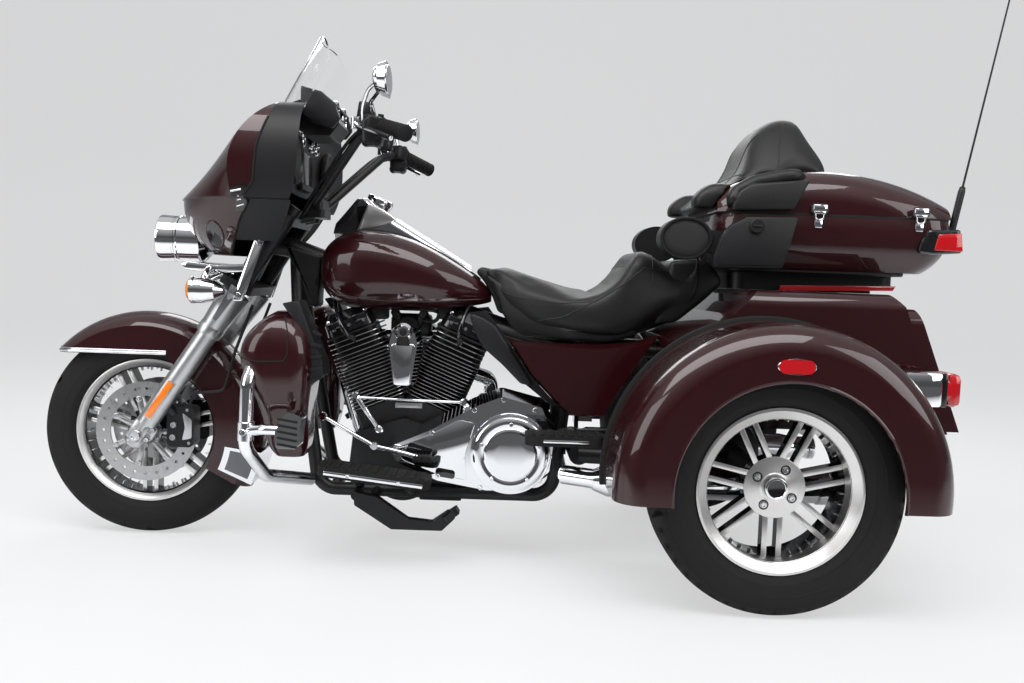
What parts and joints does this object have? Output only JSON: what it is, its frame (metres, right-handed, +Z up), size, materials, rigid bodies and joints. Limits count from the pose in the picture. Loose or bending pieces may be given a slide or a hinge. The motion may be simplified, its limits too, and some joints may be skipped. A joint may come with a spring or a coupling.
{
  "type": "motorized touring trike",
  "caption": "Three-wheeled touring motorcycle with fork-mounted fairing, V-twin engine, rear trunk between wide fenders, and a top case with backrest; wheels roll and the fork steers.",
  "frame": {"origin": "on the floor, in the middle of the bounding box", "axes": "+X to the rear, +Y to the rider's right, +Z up"},
  "size_m": [2.7231, 1.388, 1.7409],
  "materials": {
    "paint": "deep gloss maroon",
    "chrome": "mirror bright",
    "silver": "satin and machined",
    "steel": "ground",
    "black_metal": "satin black",
    "black_plastic": "fine grain",
    "rubber": "matt",
    "tyre": "matt",
    "leather": "soft sheen",
    "clear": "clear",
    "red_lens": "gloss",
    "amber_lens": "gloss"
  },
  "bodies": {
    "chassis": {"frame": "black_metal", "engine_case": "black_metal", "cylinders": "black_metal", "rocker_boxes": "black_metal", "primary_cover": "chrome", "clutch_cover": "chrome", "horn_cover": "chrome", "air_cleaner": "chrome", "exhaust": "chrome", "fuel_tank": "paint", "tank_console": "chrome", "seat": "leather", "side_covers": "paint", "heat_deflectors": "black_plastic", "engine_guard": "chrome", "leg_shields": "paint", "foot_boards": "rubber", "foot_controls": "black_metal", "rear_axle": "black_metal", "trunk_body": "paint", "rear_fenders": "paint", "plate_holder": "black_metal", "case_rack": "black_metal", "top_case_tub": "paint", "speaker_pods": "black_plastic", "red_lamps": "red_lens", "antenna": "black_plastic"},
    "trunk_door": {"trunk_door": "paint"},
    "top_case_lid": {"top_case_lid": "paint", "backrest": "leather", "case_latches": "chrome"},
    "steering": {"fork_clamps": "black_metal", "fork_legs": "silver", "fork_covers": "silver", "front_brakes": "black_metal", "front_fender": "paint", "fender_flap": "chrome", "fairing_outer": "paint", "fairing_inner": "black_plastic", "windshield": "clear", "headlamp": "chrome", "headlamp_lens": "clear", "signal_lamps": "chrome", "signal_lenses": "amber_lens", "handlebar": "black_metal", "grips": "rubber", "mirrors": "chrome"},
    "front_wheel": {"front_tyre": "tyre", "front_rim": "silver", "front_discs": "steel"},
    "rear_wheel_left": {"rear_tyre_left": "tyre", "rear_rim_left": "silver"},
    "rear_wheel_right": {"rear_tyre_right": "tyre", "rear_rim_right": "silver"}
  },
  "joints": [
    {"name": "steering", "type": "hinge", "parent": "chassis", "child": "steering", "pos_m": [-1.1536, 0, 0], "axis": [0.4384, 0, 0.8988], "range_deg": [-35, 35]},
    {"name": "front_wheel_spin", "type": "hinge", "parent": "steering", "child": "front_wheel", "pos_m": [-1.0536, 0, 0.308], "axis": [0, 1, 0], "continuous": true},
    {"name": "rear_wheel_left_spin", "type": "hinge", "parent": "chassis", "child": "rear_wheel_left", "pos_m": [0.6524, -0.53, 0.308], "axis": [0, 1, 0], "continuous": true},
    {"name": "rear_wheel_right_spin", "type": "hinge", "parent": "chassis", "child": "rear_wheel_right", "pos_m": [0.6524, 0.53, 0.308], "axis": [0, 1, 0], "continuous": true},
    {"name": "trunk_door", "type": "hinge", "parent": "chassis", "child": "trunk_door", "pos_m": [1.1844, 0, 0.424], "axis": [0, 1, 0], "range_deg": [0, 80]},
    {"name": "top_case_lid", "type": "hinge", "parent": "chassis", "child": "top_case_lid", "pos_m": [0.8524, 0.285, 0.996], "axis": [-1, 0, 0], "range_deg": [0, 75]}
  ]
}
